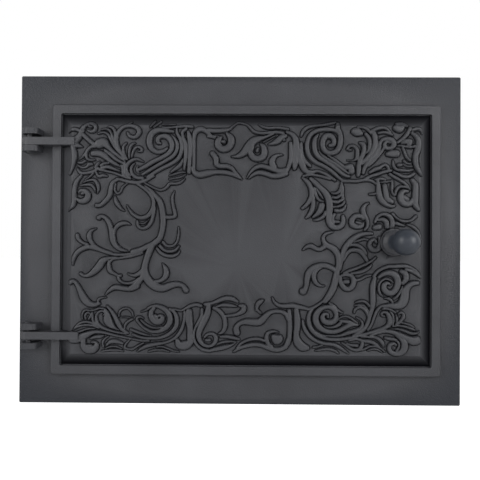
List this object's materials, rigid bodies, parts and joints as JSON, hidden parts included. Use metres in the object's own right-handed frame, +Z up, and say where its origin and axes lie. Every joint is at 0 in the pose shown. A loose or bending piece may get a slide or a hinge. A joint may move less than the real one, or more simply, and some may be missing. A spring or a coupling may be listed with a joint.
{
  "type": "cast iron oven door",
  "caption": "Cast iron oven door with scroll relief, hung on two pin hinges in a flanged wall frame, with a knob that turns a latch behind it.",
  "frame": {"origin": "middle of the wall flange's back face, on the wall plane", "axes": "+X to the right and +Z up as the door stands in its wall, -Y out of the wall towards the user, +Y into the oven"},
  "size_m": [0.45, 0.1096, 0.335],
  "materials": {
    "frame_iron": "black stove paint over rough cast iron, dull",
    "door_iron": "black-grey stove paint over cast iron, satin",
    "pin_steel": "dark oiled steel",
    "knob_black": "blue-black enamel, glossy",
    "latch_iron": "black, dull"
  },
  "bodies": {
    "frame": {"frame": "frame_iron", "hinge_pin_upper": "pin_steel", "hinge_pin_lower": "pin_steel"},
    "door": {"door_leaf": "door_iron"},
    "latch": {"knob": "knob_black", "spindle": "pin_steel", "spindle_washer": "pin_steel", "latch_blade": "latch_iron", "latch_nut": "pin_steel", "latch_lock_nut": "pin_steel"}
  },
  "joints": [
    {"name": "door_swing", "type": "hinge", "parent": "frame", "child": "door", "pos_m": [-0.2124, -0.0145, 0], "axis": [0, 0, -1], "range_deg": [0, 170]},
    {"name": "knob_turn", "type": "hinge", "parent": "door", "child": "latch", "pos_m": [0.1538, -0.02, -0.0015], "axis": [0, -1, 0], "range_deg": [0, 90]}
  ]
}
